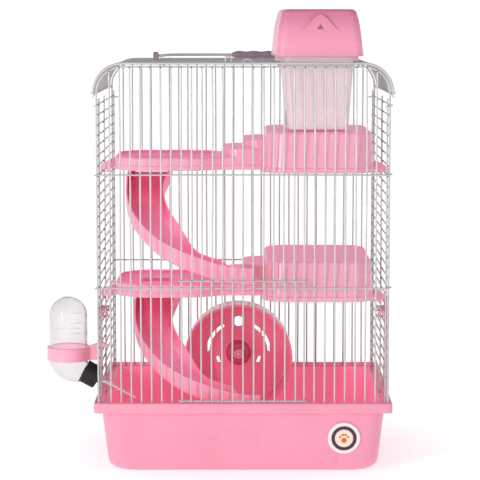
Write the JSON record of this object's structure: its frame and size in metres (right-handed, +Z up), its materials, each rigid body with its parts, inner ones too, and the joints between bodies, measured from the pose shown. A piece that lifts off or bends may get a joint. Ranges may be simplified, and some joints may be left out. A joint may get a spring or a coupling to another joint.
{
  "type": "hamster cage",
  "caption": "Two-storey wire hamster cage on a moulded tub, with slides, running wheel, roof feed hopper, lift-up door, side latches, carry handle and drip bottle.",
  "frame": {"origin": "centre of the tub's flat underside", "axes": "+Z up, the door faces -Y, +X to the right seen from the door"},
  "size_m": [0.4092, 0.2805, 0.5347],
  "materials": {
    "pink_plastic": "moulded, satin gloss",
    "hot_pink_plastic": "moulded, satin gloss",
    "wheel_plastic": "moulded, slightly translucent",
    "wire_coat": "pale coated steel wire",
    "haze_plastic": "hazy translucent",
    "clear_plastic": "clear blown bottle",
    "dark_plastic": "ribbed, matt black",
    "grey_plastic": "moulded, matt",
    "bright_steel": "drawn tube and rod",
    "white_plastic": "smooth"
  },
  "bodies": {
    "cage": {"base_tray": "pink_plastic", "badge": "white_plastic", "front_panel": "wire_coat", "back_panel": "wire_coat", "left_side_panel": "wire_coat", "right_side_panel": "wire_coat", "roof_panel": "wire_coat", "upper_platform": "pink_plastic", "lower_platform": "pink_plastic", "upper_clip_left": "pink_plastic", "upper_clip_right": "pink_plastic", "lower_clip_left": "pink_plastic", "lower_clip_right": "pink_plastic", "upper_slide": "hot_pink_plastic", "lower_slide": "hot_pink_plastic", "wheel_axle": "bright_steel", "axle_cap": "pink_plastic", "wheel_bracket": "pink_plastic", "wheel_nut": "pink_plastic", "handle_eyelet_left": "grey_plastic", "handle_eyelet_right": "grey_plastic"},
    "door": {"front_door": "wire_coat"},
    "wheel": {"wheel": "wheel_plastic"},
    "handle": {"carry_handle": "wire_coat", "handle_grip": "grey_plastic"},
    "hopper": {"hopper_container": "haze_plastic"},
    "lid": {"hopper_lid": "pink_plastic"},
    "drip_bottle": {"bottle": "clear_plastic", "bottle_cap": "dark_plastic", "bottle_seal": "white_plastic", "spout_tube": "bright_steel", "spout_ball": "bright_steel", "bottle_holder": "pink_plastic"},
    "latch_left": {"left_latch": "pink_plastic"},
    "latch_right": {"right_latch": "pink_plastic"}
  },
  "joints": [
    {"name": "door_lift", "type": "slide", "parent": "cage", "child": "door", "axis": [0, 0, 1], "range_m": [0, 0.118]},
    {"name": "wheel_spin", "type": "hinge", "parent": "cage", "child": "wheel", "pos_m": [-0.00585, 0.064, 0.105], "axis": [0, 1, 0], "continuous": true},
    {"name": "handle_fold", "type": "hinge", "parent": "cage", "child": "handle", "pos_m": [0, 0, 0.48], "axis": [1, 0, 0], "range_deg": [0, 95]},
    {"name": "hopper_lift", "type": "slide", "parent": "cage", "child": "hopper", "axis": [0, 0, 1], "range_m": [0, 0.14]},
    {"name": "lid_lift", "type": "slide", "parent": "hopper", "child": "lid", "axis": [0, 0, 1], "range_m": [0, 0.06]},
    {"name": "bottle_unhook", "type": "slide", "parent": "cage", "child": "drip_bottle", "axis": [-0.8771, 0, 0.4802], "range_m": [0, 0.06]},
    {"name": "latch_left_swing", "type": "hinge", "parent": "cage", "child": "latch_left", "pos_m": [-0.1657, 0, 0.17045], "axis": [0, 1, 0], "range_deg": [0, 25]},
    {"name": "latch_right_swing", "type": "hinge", "parent": "cage", "child": "latch_right", "pos_m": [0.1657, 0, 0.17045], "axis": [0, -1, 0], "range_deg": [0, 25]}
  ]
}
